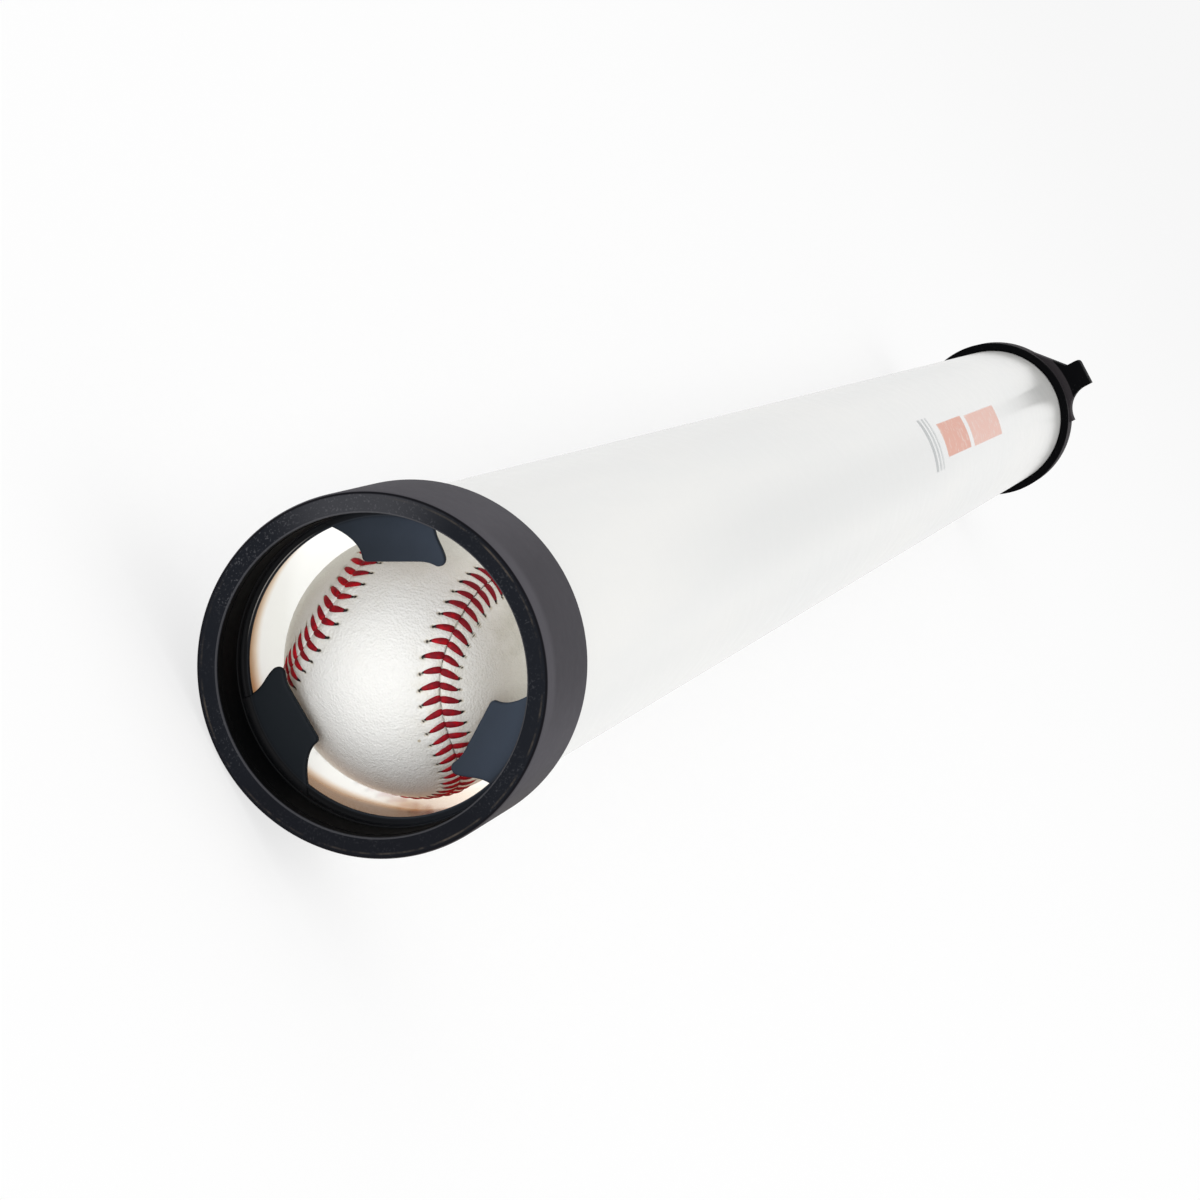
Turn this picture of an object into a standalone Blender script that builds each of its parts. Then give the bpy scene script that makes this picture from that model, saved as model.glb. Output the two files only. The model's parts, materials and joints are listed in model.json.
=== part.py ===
# Baseball pickup tube: a plain translucent tube with a catching collar at the mouth, whose three
# rubber flaps let a ball in and hold it, and a pull-off end cap at the other end.
# It lies along Y on its two caps, mouth towards -Y, with the cap's pull tab straight up.
# Clock angles are degrees clockwise from straight up, seen from the mouth.

import bmesh
import bpy
from math import atan2, cos, degrees, pi, radians, sin, sqrt
from mathutils import Euler, Matrix, Vector
from mathutils.geometry import interpolate_bezier

MM = 0.001

# Tube
TUBE_OUTSIDE_DIAMETER = 88.9 * MM
TUBE_WALL = 1.6 * MM
TUBE_LENGTH = 1219.2 * MM

# Clearance between pieces that touch, and of the slip fits on the tube
SEAT_GAP = 0.3 * MM

# Collar at the mouth
COLLAR_WALL = 4.25 * MM
LIP_STEP = 1.4 * MM
LIP_DEPTH = 14.3 * MM
COLLAR_GRIP = 15.7 * MM
LIP_OUTER_ROUND = 1.4 * MM
LIP_INNER_ROUND = 1.0 * MM
COLLAR_REAR_ROUND = 0.8 * MM

# Ring behind the lip, with a thin flange round its inside and a filleted web for each flap
RING_LENGTH = 8.4 * MM
FLANGE_DEPTH = 2.0 * MM
FLANGE_THICKNESS = 1.6 * MM
WEB_SETBACK = 3.4 * MM
WEB_DEPTH = 3.85 * MM
WEB_FILLET = 1.6 * MM
FILLET_BURIAL = 0.4 * MM

# Flaps
FLAP_COUNT = 3
FLAP_CLOCK = 56.8
FLAP_THICKNESS = 2.0 * MM
FLAP_REACH = 14.35 * MM
FLAP_EDGE_ROUND = 0.6 * MM
HINGE_GAP = 0.45 * MM
ROOT_STRAIGHT = 24.6 * MM
HORN_SIDE = 13.6 * MM
HORN_LEAN = 2.7 * MM
HORN_RADIUS = 1.95 * MM
HORN_DROP = 1.3 * MM
HORN_CURL = 5.2 * MM
HORN_CHEEK = 20.0
HORN_CHIN = -125.0
FLARE_TIP = 5.6 * MM
FLARE_ROOT = 18.6 * MM
FLARE_CORNER = 1.5 * MM

# Handles of the flap's curved sides, as (clockwise, outwards) shares of each curve's height
HORN_ROOT_PULL = (-0.06, -0.55)
HORN_CHEEK_PULL = (-0.08, 0.35)
CURL_CHIN_PULL = (-0.95, 0.55)
CURL_TIP_PULL = (1.6, 0.0)
FLARE_TIP_PULL = (-0.06, 0.42)
FLARE_ROOT_PULL = (0.66, -0.18)

# End cap and its pull tab
CAP_SKIRT_WALL = 4.75 * MM
CAP_GRIP = 20.5 * MM
CAP_END_WALL = 3.5 * MM
CAP_REAR_ROUND = 1.5 * MM
CAP_FRONT_ROUND = 0.8 * MM
TAB_REACH = 17.0 * MM
TAB_HEAD_WIDTH = 17.6 * MM
TAB_NECK_HEIGHT = 8.0 * MM
TAB_SCOOP_RADIUS = 16.0 * MM
TAB_SCOOP_START = 185.0
TAB_SCOOP_END = 268.0
TAB_CORNER = 2.4 * MM
TAB_FLANK_CLOCK = -37.0
TAB_FOOT_CLOCK = 30.5
TAB_FOOT_SLANT = 1.5
TAB_FOOT_HEIGHT = 2.6 * MM
TAB_THICKNESS = 14.0 * MM
TAB_SETBACK = 3.5 * MM

# Baseball held behind the flaps
BALL_RADIUS = 37.3 * MM
COVER_THICKNESS = 1.3 * MM
SEAM_GAP = 0.7 * MM
SEAM_WAIST = 0.448
SEAM_STEP = 0.01
BALL_LOW_CLOCK = 165.0
BALL_TURN = (33.3, -42.2, -7.2)

# Facets
ROUND_STEPS = 72
ARC_STEPS = 4
WALL_STEPS = 12
BEVEL_STEPS = 3
SHARP_ANGLE = 35.0
MERGE_DISTANCE = 0.003 * MM
PANEL_ROWS = 40
PANEL_COLUMNS = 10

# Radii that follow from the tube
TUBE_RADIUS = TUBE_OUTSIDE_DIAMETER / 2
BORE_RADIUS = TUBE_RADIUS - TUBE_WALL
SOCKET_RADIUS = TUBE_RADIUS + SEAT_GAP
COLLAR_RADIUS = SOCKET_RADIUS + COLLAR_WALL
LIP_RADIUS = TUBE_RADIUS - LIP_STEP
CAP_RADIUS = SOCKET_RADIUS + CAP_SKIRT_WALL
FLANGE_RADIUS = BORE_RADIUS - FLANGE_DEPTH
BURIED_RADIUS = (BORE_RADIUS + TUBE_RADIUS) / 2

# Stations along the tube, measured back from the mouth
RING_FRONT = LIP_DEPTH + SEAT_GAP
RING_REAR = RING_FRONT + RING_LENGTH
TUBE_FRONT = RING_REAR + SEAT_GAP
TUBE_REAR = TUBE_FRONT + TUBE_LENGTH
COLLAR_REAR = TUBE_FRONT + COLLAR_GRIP
CAP_FRONT = TUBE_REAR - CAP_GRIP
CAP_FLOOR = TUBE_REAR + SEAT_GAP
CAP_REAR = CAP_FLOOR + CAP_END_WALL
FLAP_STATION = RING_FRONT + WEB_SETBACK
MID_LENGTH = CAP_REAR / 2

# The flap folds on a straight line along its root, where a rubber flap bends
WEB_EDGE = BORE_RADIUS - WEB_DEPTH
FLAP_ROOT = WEB_EDGE - HINGE_GAP
HINGE_RADIUS = FLAP_ROOT - FLAP_THICKNESS / 2
FLAP_TIP = BORE_RADIUS - FLAP_REACH

# The ball lies on the tube's wall, just far enough back for the flaps to swing past it
BALL_DROP = BORE_RADIUS - BALL_RADIUS - SEAT_GAP
SWING_RADIUS = sqrt((HINGE_RADIUS - FLAP_TIP) ** 2 + (FLAP_THICKNESS / 2) ** 2)
BALL_CLEARANCE = BALL_RADIUS + SWING_RADIUS + SEAT_GAP
BALL_STATION = FLAP_STATION + sqrt(BALL_CLEARANCE**2 - (HINGE_RADIUS - BALL_DROP) ** 2)
CORE_RADIUS = BALL_RADIUS - COVER_THICKNESS - 2 * SEAT_GAP

# The facets at the bottom lie flat on the ground
AXIS_HEIGHT = CAP_RADIUS * cos(pi / ROUND_STEPS)


def clear_scene():
    for obj in list(bpy.data.objects):
        bpy.data.objects.remove(obj, do_unlink=True)


def material(name, colour, roughness, metallic=0.0):
    made = bpy.data.materials.new(name)
    made.use_nodes = True
    shader = made.node_tree.nodes["Principled BSDF"]
    shader.inputs["Base Color"].default_value = (*colour, 1.0)
    shader.inputs["Roughness"].default_value = roughness
    shader.inputs["Metallic"].default_value = metallic
    return made


def empty(name, location, parent=None):
    made = bpy.data.objects.new(name, None)
    made.location = location
    made.parent = parent
    bpy.context.scene.collection.objects.link(made)
    return made


def mesh_object(name, bm, parent, finish):
    """The bmesh as an object, shaded smooth but for its sharp edges."""
    bmesh.ops.recalc_face_normals(bm, faces=bm.faces)
    if bm.calc_volume(signed=True) < 0:
        bmesh.ops.reverse_faces(bm, faces=bm.faces)
    mesh = bpy.data.meshes.new(name)
    bm.to_mesh(mesh)
    bm.free()
    mesh.shade_smooth()
    mesh.set_sharp_from_angle(angle=radians(SHARP_ANGLE))
    made = bpy.data.objects.new(name, mesh)
    made.parent = parent
    if finish:
        mesh.materials.append(finish)
    bpy.context.scene.collection.objects.link(made)
    return made


def helper(obj):
    """Keeps a cutter or a piece of another solid out of the model."""
    obj.hide_render = True
    obj.display_type = "WIRE"
    return obj


def boolean(obj, other, operation):
    modifier = obj.modifiers.new(operation.title(), "BOOLEAN")
    modifier.operation = operation
    modifier.solver = "EXACT"
    modifier.object = other


def arc(centre, radius, start, end, steps=ARC_STEPS):
    """Points on a round stretch of an outline, from one angle to another in degrees."""
    turns = [radians(start + (end - start) * i / steps) for i in range(steps + 1)]
    return [(centre[0] + radius * cos(a), centre[1] + radius * sin(a)) for a in turns]


def turned(name, profile, parent, finish=None):
    """A profile of (radius, distance from the mouth) turned round the tube's line."""
    bm = bmesh.new()
    start = Matrix.Rotation(pi / ROUND_STEPS, 3, "Y")
    ring = [bm.verts.new(start @ Vector((r, y, 0))) for r, y in profile]
    edges = [bm.edges.new((a, b)) for a, b in zip(ring, ring[1:] + ring[:1])]
    bmesh.ops.spin(
        bm,
        geom=ring + edges,
        cent=(0, 0, 0),
        axis=(0, 1, 0),
        angle=2 * pi,
        steps=ROUND_STEPS,
        use_merge=True,
    )
    bmesh.ops.remove_doubles(bm, verts=bm.verts, dist=MERGE_DISTANCE)
    return mesh_object(name, bm, parent, finish)


def plate(bm, outline, front, rear):
    """A flat piece cut to an outline of (x, z), between two stations along the tube."""
    face = bm.faces.new([bm.verts.new((x, front, z)) for x, z in outline])
    sides = bmesh.ops.extrude_face_region(bm, geom=[face])
    moved = [v for v in sides["geom"] if isinstance(v, bmesh.types.BMVert)]
    bmesh.ops.translate(bm, verts=moved, vec=(0, rear - front, 0))
    return bm


def on_circle(radius, clock):
    return radius * sin(radians(clock)), radius * cos(radians(clock))


def wall_arc(radius, start, end):
    """Points along a wall of the tube's shape, from one clock angle to another."""
    clocks = [start + (end - start) * i / WALL_STEPS for i in range(WALL_STEPS + 1)]
    return [on_circle(radius, clock) for clock in clocks]


# Tube


def make_tube(line, finish):
    profile = [
        (BORE_RADIUS, TUBE_FRONT),
        (TUBE_RADIUS, TUBE_FRONT),
        (TUBE_RADIUS, TUBE_REAR),
        (BORE_RADIUS, TUBE_REAR),
    ]
    return turned("tube", profile, line, finish)


# Collar


def make_collar(line, finish):
    lip_inner = (LIP_RADIUS + LIP_INNER_ROUND, LIP_INNER_ROUND)
    lip_outer = (COLLAR_RADIUS - LIP_OUTER_ROUND, LIP_OUTER_ROUND)
    rear = (COLLAR_RADIUS - COLLAR_REAR_ROUND, COLLAR_REAR - COLLAR_REAR_ROUND)
    profile = arc(lip_inner, LIP_INNER_ROUND, 180, 270)
    profile += arc(lip_outer, LIP_OUTER_ROUND, 270, 360)
    profile += arc(rear, COLLAR_REAR_ROUND, 0, 90)
    profile += [
        (SOCKET_RADIUS + COLLAR_REAR_ROUND, COLLAR_REAR),
        (SOCKET_RADIUS, COLLAR_REAR - COLLAR_REAR_ROUND),
        (SOCKET_RADIUS, LIP_DEPTH),
        (LIP_RADIUS, LIP_DEPTH),
    ]
    return turned("pickup_collar", profile, line, finish)


# Flaps and the ring that carries them


def curve(start, start_pull, end, end_pull):
    """A curved stretch of an outline, with its handles as shares of its height."""
    rise = abs(end[1] - start[1])
    knots = [Vector((*point, 0)) for point in (start, end)]
    pulls = [Vector((*pull, 0)) * rise for pull in (start_pull, end_pull)]
    points = interpolate_bezier(
        knots[0], knots[0] + pulls[0], knots[1] + pulls[1], knots[1], 2 * ARC_STEPS + 1
    )
    return [(p.x, p.y) for p in points]


def flap_outline():
    """The whole flap from inside the ring's wall to its tip, as (clockwise, outwards) points."""
    horn_root = (HORN_SIDE, sqrt(BURIED_RADIUS**2 - HORN_SIDE**2))
    horn = (HORN_SIDE + HORN_LEAN - HORN_RADIUS, FLAP_TIP - HORN_DROP + HORN_RADIUS)
    tip = arc(horn, HORN_RADIUS, HORN_CHEEK, HORN_CHIN, 2 * ARC_STEPS)
    corner = arc((-FLARE_TIP, FLAP_TIP + FLARE_CORNER), FLARE_CORNER, -90, -180)
    flare_root = (-FLARE_ROOT, sqrt(BURIED_RADIUS**2 - FLARE_ROOT**2))
    clocks = [degrees(atan2(x, z)) for x, z in (flare_root, horn_root)]
    points = curve(horn_root, HORN_ROOT_PULL, tip[0], HORN_CHEEK_PULL)[:-1]
    points += tip[:-1]
    points += curve(tip[-1], CURL_CHIN_PULL, (horn[0] - HORN_CURL, FLAP_TIP), CURL_TIP_PULL)
    points += corner[:-1]
    points += curve(corner[-1], FLARE_TIP_PULL, flare_root, FLARE_ROOT_PULL)
    points += wall_arc(BURIED_RADIUS, *clocks)[1:-1]
    return points


def cut(bm, place, direction):
    """Cuts flat pieces on a line in their plane and drops the side that the direction points to."""
    geometry = list(bm.verts) + list(bm.edges) + list(bm.faces)
    bmesh.ops.bisect_plane(bm, geom=geometry, plane_co=place, plane_no=direction, clear_outer=True)


def flap_clocks():
    return [FLAP_CLOCK + 360 / FLAP_COUNT * i for i in range(FLAP_COUNT)]


def web_plates():
    """The flaps' roots at their places round the ring, long enough to cut the whole flange."""
    whole = bmesh.new()
    for clock in flap_clocks():
        one = bmesh.new()
        one.faces.new([one.verts.new((x, 0, z)) for x, z in flap_outline()])
        cut(one, (0, 0, WEB_EDGE), (0, 0, -1))
        outline = [(v.co.x, v.co.z) for v in one.faces[:][0].verts]
        one.free()
        one = plate(bmesh.new(), outline, RING_FRONT, RING_REAR)
        one.transform(Matrix.Rotation(radians(clock), 4, "Y"))
        part = bpy.data.meshes.new("web_plate")
        one.to_mesh(part)
        one.free()
        whole.from_mesh(part)
        bpy.data.meshes.remove(part)
    return whole


def make_ring(line, finish):
    """The flanged ring, with a short filleted web under the root of each flap."""
    front = FLAP_STATION - FLAP_THICKNESS / 2
    rear = FLAP_STATION + FLAP_THICKNESS / 2
    toe = BORE_RADIUS + FILLET_BURIAL - WEB_FILLET
    flange = [(WEB_EDGE - WEB_FILLET, rear), (WEB_EDGE - WEB_FILLET, front)]
    flange += arc((toe, front - WEB_FILLET), WEB_FILLET, 90, 0)
    flange += [(BURIED_RADIUS, front - WEB_FILLET), (BURIED_RADIUS, rear + WEB_FILLET)]
    flange += arc((toe, rear + WEB_FILLET), WEB_FILLET, 0, -90)
    webs = helper(turned("web_flange", flange, line))
    plates = helper(mesh_object("web_plates", web_plates(), line, None))
    boolean(webs, plates, "INTERSECT")
    profile = [
        (BORE_RADIUS, RING_FRONT),
        (TUBE_RADIUS, RING_FRONT),
        (TUBE_RADIUS, RING_REAR),
        (BORE_RADIUS, RING_REAR),
        (BORE_RADIUS, FLAP_STATION + FLANGE_THICKNESS / 2),
        (FLANGE_RADIUS, FLAP_STATION + FLANGE_THICKNESS / 2),
        (FLANGE_RADIUS, FLAP_STATION - FLANGE_THICKNESS / 2),
        (BORE_RADIUS, FLAP_STATION - FLANGE_THICKNESS / 2),
    ]
    ring = turned("flap_ring", profile, line, finish)
    boolean(ring, webs, "UNION")
    return ring


def make_flap(name, clock, line, finish):
    """One flap, with its origin on the line that it folds about and room to fold past the flange."""
    bm = bmesh.new()
    bm.faces.new([bm.verts.new((x, 0, z)) for x, z in flap_outline()])
    cut(bm, (0, 0, FLAP_ROOT), (0, 0, 1))
    for side in (-1, 1):
        cut(bm, (side * ROOT_STRAIGHT / 2, 0, FLAP_ROOT), (side, 0, 1))
    outline = [(v.co.x, v.co.z - HINGE_RADIUS) for v in bm.faces[:][0].verts]
    bm.free()
    bm = plate(bmesh.new(), outline, -FLAP_THICKNESS / 2, FLAP_THICKNESS / 2)
    rims = [e for e in bm.edges if abs(e.verts[0].co.y - e.verts[1].co.y) < SEAT_GAP]
    bmesh.ops.bevel(
        bm, geom=rims, offset=FLAP_EDGE_ROUND, segments=BEVEL_STEPS, profile=0.5, affect="EDGES"
    )
    flap = mesh_object(name, bm, line, finish)
    x, z = on_circle(HINGE_RADIUS, clock)
    flap.location = (x, FLAP_STATION, z)
    flap.rotation_euler = (0, radians(clock), 0)
    return flap


# End cap


def tab_outline():
    """The pull tab seen along the tube: a straight flank, a head and a scoop for the thumb."""
    half = TAB_HEAD_WIDTH / 2
    top = CAP_RADIUS + TAB_REACH
    foot = on_circle(CAP_RADIUS + TAB_FOOT_HEIGHT, TAB_FOOT_CLOCK - TAB_FOOT_SLANT)
    scoop = (half + TAB_SCOOP_RADIUS, foot[1] + TAB_SCOOP_RADIUS)
    points = [on_circle(CAP_RADIUS - SEAT_GAP, TAB_FLANK_CLOCK)]
    points += [(-half, CAP_RADIUS + TAB_NECK_HEIGHT)]
    points += arc((-half + TAB_CORNER, top - TAB_CORNER), TAB_CORNER, 180, 90)
    points += [(half, top)]
    points += arc(scoop, TAB_SCOOP_RADIUS, TAB_SCOOP_START, TAB_SCOOP_END, 3 * ARC_STEPS)
    points += [foot, on_circle(CAP_RADIUS - SEAT_GAP, TAB_FOOT_CLOCK)]
    points += wall_arc((SOCKET_RADIUS + CAP_RADIUS) / 2, TAB_FOOT_CLOCK, TAB_FLANK_CLOCK)
    return points


def make_cap(line, finish):
    """A cup pushed over the tube's end, with its origin where its skirt begins."""
    skirt = CAP_FRONT_ROUND
    depth = CAP_FLOOR - CAP_FRONT
    length = CAP_REAR - CAP_FRONT
    rear = (CAP_RADIUS - CAP_REAR_ROUND, length - CAP_REAR_ROUND)
    profile = [(SOCKET_RADIUS, skirt), (SOCKET_RADIUS + skirt, 0)]
    profile += arc((CAP_RADIUS - skirt, skirt), skirt, 270, 360)
    profile += arc(rear, CAP_REAR_ROUND, 0, 90)
    profile += [(0, length), (0, depth), (SOCKET_RADIUS, depth)]
    cap = turned("end_cap", profile, line, finish)
    cap.location = (0, CAP_FRONT, 0)
    rear_face = CAP_REAR - TAB_SETBACK
    tab = plate(bmesh.new(), tab_outline(), rear_face - TAB_THICKNESS, rear_face)
    tab = helper(mesh_object("pull_tab", tab, line, None))
    boolean(cap, tab, "UNION")
    return cap


# Baseball


def seam_point(turn):
    """The seam as a unit vector: a closed wave round the ball, over turns from 0 to 4 pi."""
    polar = pi / 2 - (pi / 2 - SEAM_WAIST) * cos(turn)
    around = turn / 2 + SEAM_WAIST * sin(2 * turn)
    return Vector((sin(polar) * cos(around), sin(polar) * sin(around), cos(polar)))


def panel_edge(turn, shift):
    """A point on a cover panel's edge, moved off the seam along the ball."""
    point = seam_point(turn)
    along = seam_point(turn + SEAM_STEP) - seam_point(turn - SEAM_STEP)
    inward = along.cross(point).normalized()
    return (point - shift * inward).normalized()


def panel_points(radius):
    """Rows of points across one figure-eight cover panel, each row an arc between its edges."""
    shift = SEAM_GAP / 2 / radius
    rows = []
    for i in range(PANEL_ROWS + 1):
        turn = -pi + 2 * pi * i / PANEL_ROWS
        start = panel_edge(turn, shift)
        end = panel_edge(2 * pi - turn, shift)
        across = [start.slerp(end, j / PANEL_COLUMNS) for j in range(PANEL_COLUMNS + 1)]
        rows.append([point * radius for point in across])
    return rows


def panel_faces(bm, rows, flip):
    made = [[bm.verts.new(point) for point in row] for row in rows]
    for here, there in zip(made, made[1:]):
        for j in range(PANEL_COLUMNS):
            corners = [here[j], here[j + 1], there[j + 1], there[j]]
            bm.faces.new(corners[::-1] if flip else corners)
    return made


def make_panel(name, second, ball, finish):
    """One of the two cover panels, a curved shell that dovetails with the other."""
    bm = bmesh.new()
    outer = panel_faces(bm, panel_points(BALL_RADIUS), flip=False)
    inner = panel_faces(bm, panel_points(BALL_RADIUS - COVER_THICKNESS), flip=True)
    for column in (0, -1):
        for i in range(PANEL_ROWS):
            top = [outer[i][column], outer[i + 1][column]]
            bottom = [inner[i + 1][column], inner[i][column]]
            bm.faces.new(top + bottom)
    bmesh.ops.remove_doubles(bm, verts=bm.verts, dist=MERGE_DISTANCE)
    bmesh.ops.dissolve_degenerate(bm, edges=bm.edges, dist=MERGE_DISTANCE)
    if second:
        bm.transform(Matrix(((0, 1, 0, 0), (1, 0, 0, 0), (0, 0, -1, 0), (0, 0, 0, 1))))
    return mesh_object(name, bm, ball, finish)


def make_core(ball, finish):
    """The yarn wound core, with the cork and rubber pill inside it."""
    bm = bmesh.new()
    bmesh.ops.create_icosphere(bm, subdivisions=3, radius=CORE_RADIUS)
    return mesh_object("ball_core", bm, ball, finish)


def make_ball(line, leather, yarn):
    x, z = on_circle(BALL_DROP, BALL_LOW_CLOCK)
    ball = empty("ball_centre", (x, BALL_STATION, z), line)
    ball.rotation_euler = Euler([radians(turn) for turn in BALL_TURN])
    make_panel("ball_cover_a", False, ball, leather)
    make_panel("ball_cover_b", True, ball, leather)
    make_core(ball, yarn)


def build():
    clear_scene()
    line = empty("tube_line", (0, -MID_LENGTH, AXIS_HEIGHT))
    frosted = material("frosted plastic", (0.90, 0.90, 0.88), 0.35)
    rubber = material("black rubber", (0.022, 0.024, 0.030), 0.55)
    flap_rubber = material("flap rubber", (0.028, 0.034, 0.046), 0.50)
    leather = material("white leather", (0.86, 0.84, 0.79), 0.50)
    yarn = material("grey yarn", (0.45, 0.43, 0.40), 0.90)
    make_tube(line, frosted)
    make_collar(line, rubber)
    make_ring(line, flap_rubber)
    for number, clock in enumerate(flap_clocks(), start=1):
        make_flap(f"flap_{number}", clock, line, flap_rubber)
    make_cap(line, rubber)
    make_ball(line, leather, yarn)


build()
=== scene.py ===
# Looks of a baseball pickup tube: a frosted tube, a rubber collar with three flaps, an end cap and
# the ball it holds.
import json
from math import cos, pi, radians, sin, sqrt, tau

import bmesh
import bpy
import numpy as np
from mathutils import Euler, Matrix, Vector
from mathutils.geometry import interpolate_bezier
from mathutils.kdtree import KDTree


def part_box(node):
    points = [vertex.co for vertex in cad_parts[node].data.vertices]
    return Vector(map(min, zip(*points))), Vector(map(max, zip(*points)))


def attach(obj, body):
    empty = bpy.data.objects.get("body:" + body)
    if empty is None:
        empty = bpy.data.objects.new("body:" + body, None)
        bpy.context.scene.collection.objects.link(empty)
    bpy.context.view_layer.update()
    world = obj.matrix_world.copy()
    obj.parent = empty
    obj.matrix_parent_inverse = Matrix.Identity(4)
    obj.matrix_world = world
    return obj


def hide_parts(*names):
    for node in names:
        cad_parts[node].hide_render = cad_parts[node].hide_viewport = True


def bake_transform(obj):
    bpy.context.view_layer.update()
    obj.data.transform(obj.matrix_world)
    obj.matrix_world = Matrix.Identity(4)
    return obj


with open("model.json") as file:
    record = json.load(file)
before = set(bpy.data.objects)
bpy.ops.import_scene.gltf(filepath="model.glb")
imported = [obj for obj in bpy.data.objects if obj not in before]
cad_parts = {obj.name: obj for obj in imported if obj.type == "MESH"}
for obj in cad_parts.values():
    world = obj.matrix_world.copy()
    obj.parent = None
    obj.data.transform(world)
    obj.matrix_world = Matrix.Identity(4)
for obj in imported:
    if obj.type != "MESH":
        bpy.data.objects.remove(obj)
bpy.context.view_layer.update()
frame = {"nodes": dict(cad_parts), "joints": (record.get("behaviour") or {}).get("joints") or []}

mm = 0.001

# Places that follow from the frame. A station is a distance back from the mouth along the tube,
# a clock angle is turned clockwise from straight up as seen from the mouth.
collarLow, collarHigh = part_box("pickup_collar")
ringLow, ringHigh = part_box("flap_ring")
tubeLow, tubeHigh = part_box("tube")
capLow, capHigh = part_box("end_cap")
coreLow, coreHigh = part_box("ball_core")
mouth = collarLow.y
axisHeight = (tubeLow.z + tubeHigh.z) / 2
tubeRadius = (tubeHigh.x - tubeLow.x) / 2
collarRadius = (collarHigh.x - collarLow.x) / 2
capRadius = (capHigh.x - capLow.x) / 2 - 0.001 * mm  # kept inside the CAD box
ballCentre = (coreLow + coreHigh) / 2
tubeFront = tubeLow.y - mouth
tubeRear = tubeHigh.y - mouth
collarRear = collarHigh.y - mouth
capFront, capRear = capLow.y - mouth, capHigh.y - mouth
wall = 1.6 * mm
gap = 0.3 * mm
boreRadius = tubeRadius - wall
socketRadius = tubeRadius + gap


def place(radius, clock, station):
    return Vector((radius * sin(clock), mouth + station, axisHeight + radius * cos(clock)))


# Node trees

class Wire:
    # A node's output that can be used in sums: each operator adds a Math node to the same tree.
    def __init__(self, board, socket):
        self.board = board
        self.socket = socket

    def math(self, operation, *values):
        # a Math node whose first value is this one
        return self.board.math(operation, self, *values)

    def other(self, name):
        return Wire(self.board, self.socket.node.outputs[name])

    def __add__(self, value):
        return self.math("ADD", value)

    def __sub__(self, value):
        return self.math("SUBTRACT", value)

    def __rsub__(self, value):
        return self.board.math("SUBTRACT", value, self)

    def __mul__(self, value):
        return self.math("MULTIPLY", value)

    def __truediv__(self, value):
        return self.math("DIVIDE", value)

    def __pow__(self, value):
        return self.math("POWER", value)

    __radd__, __rmul__ = __add__, __mul__


class Board:
    # A node tree being filled.
    def __init__(self, tree):
        self.tree = tree

    def add(self, kind, sockets=None, output=0, **settings):
        node = self.tree.nodes.new(kind)
        for name, value in settings.items():
            setattr(node, name, value)
        for name, value in (sockets or {}).items():
            if isinstance(value, Wire):
                self.tree.links.new(value.socket, node.inputs[name])
            else:
                node.inputs[name].default_value = value
        return Wire(self, node.outputs[output])

    def math(self, operation, *values):
        return self.add("ShaderNodeMath", dict(enumerate(values)), operation=operation)

    def ramp(self, share, stops):
        made = self.add("ShaderNodeValToRGB", {0: share})
        elements = made.socket.node.color_ramp.elements
        while len(elements) < len(stops):
            elements.new(1.0)
        for element, (position, colour) in zip(elements, stops):
            element.position = position
            element.color = (*colour, 1.0)
        return made

    def fade(self, value, low, high):
        # 0 below low, 1 above high and smooth in between
        sockets = {"Value": value, "From Min": low, "From Max": high}
        return self.add("ShaderNodeMapRange", sockets, interpolation_type="SMOOTHSTEP")

    def band(self, value, low, high, soft):
        # 1 between low and high, 0 from soft outside them
        return self.fade(value, low - soft, low) * (1 - self.fade(value, high, high + soft))

    def near(self, value, centre, close, far):
        # 1 within close of the centre, 0 beyond far from it
        return 1 - self.fade((value - centre).math("ABSOLUTE"), close, far)

    def mix(self, share, first, second):
        first, second = [c if isinstance(c, Wire) else (*c, 1.0) for c in (first, second)]
        return self.add("ShaderNodeMix", {0: share, 6: first, 7: second}, 2, data_type="RGBA")

    def here(self):
        return self.add("ShaderNodeTexCoord", output="Object")

    def noise(self, scale, detail, rough, where=None):
        sockets = {"Vector": where or self.here(), "Scale": scale, "Detail": detail, "Roughness": rough}
        return self.add("ShaderNodeTexNoise", sockets)

    def cells(self, scale):
        # distance to the middle of the nearest of many small cells
        return self.add("ShaderNodeTexVoronoi", {"Vector": self.here(), "Scale": scale}, feature="F1")

    def attribute(self, name, output="Fac"):
        return self.add("ShaderNodeAttribute", output=output, attribute_name=name)

    def bump(self, height, distance, strength):
        return self.add("ShaderNodeBump", {"Height": height, "Distance": distance, "Strength": strength})

    def roundTube(self):
        # radius from the tube's line, clock angle and station of the point being shaded
        at = self.add("ShaderNodeSeparateXYZ", {0: self.here()})
        x, y, z = at, at.other("Y"), at.other("Z") - axisHeight
        radius = (x * x + z * z) ** 0.5
        return radius, x.math("ARCTAN2", z), y - mouth

    def oneSide(self, centre, radii, turns, stray=0.0):
        # 1 far out from the tube's line on the side of a clock angle, 0 near the line and opposite
        radius, clock, _ = self.roundTube()
        turn = (clock - centre).math("COSINE") + stray
        return self.fade(radius, *radii) * self.fade(turn, *turns)


def paint(name, constants, recipe):
    made = bpy.data.materials.new(name)
    made.use_nodes = True
    shader = made.node_tree.nodes["Principled BSDF"]
    for socket, value in constants.items():
        shader.inputs[socket].default_value = value
    for socket, wire in recipe(Board(made.node_tree)).items():
        made.node_tree.links.new(wire.socket, shader.inputs[socket])
    return made


# Meshes

def newObject(name, data):
    made = bpy.data.objects.new(name, data)
    bpy.context.scene.collection.objects.link(made)
    return made


def meshFrom(bm, name):
    mesh = bpy.data.meshes.new(name)
    bm.to_mesh(mesh)
    bm.free()
    return mesh


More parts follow.
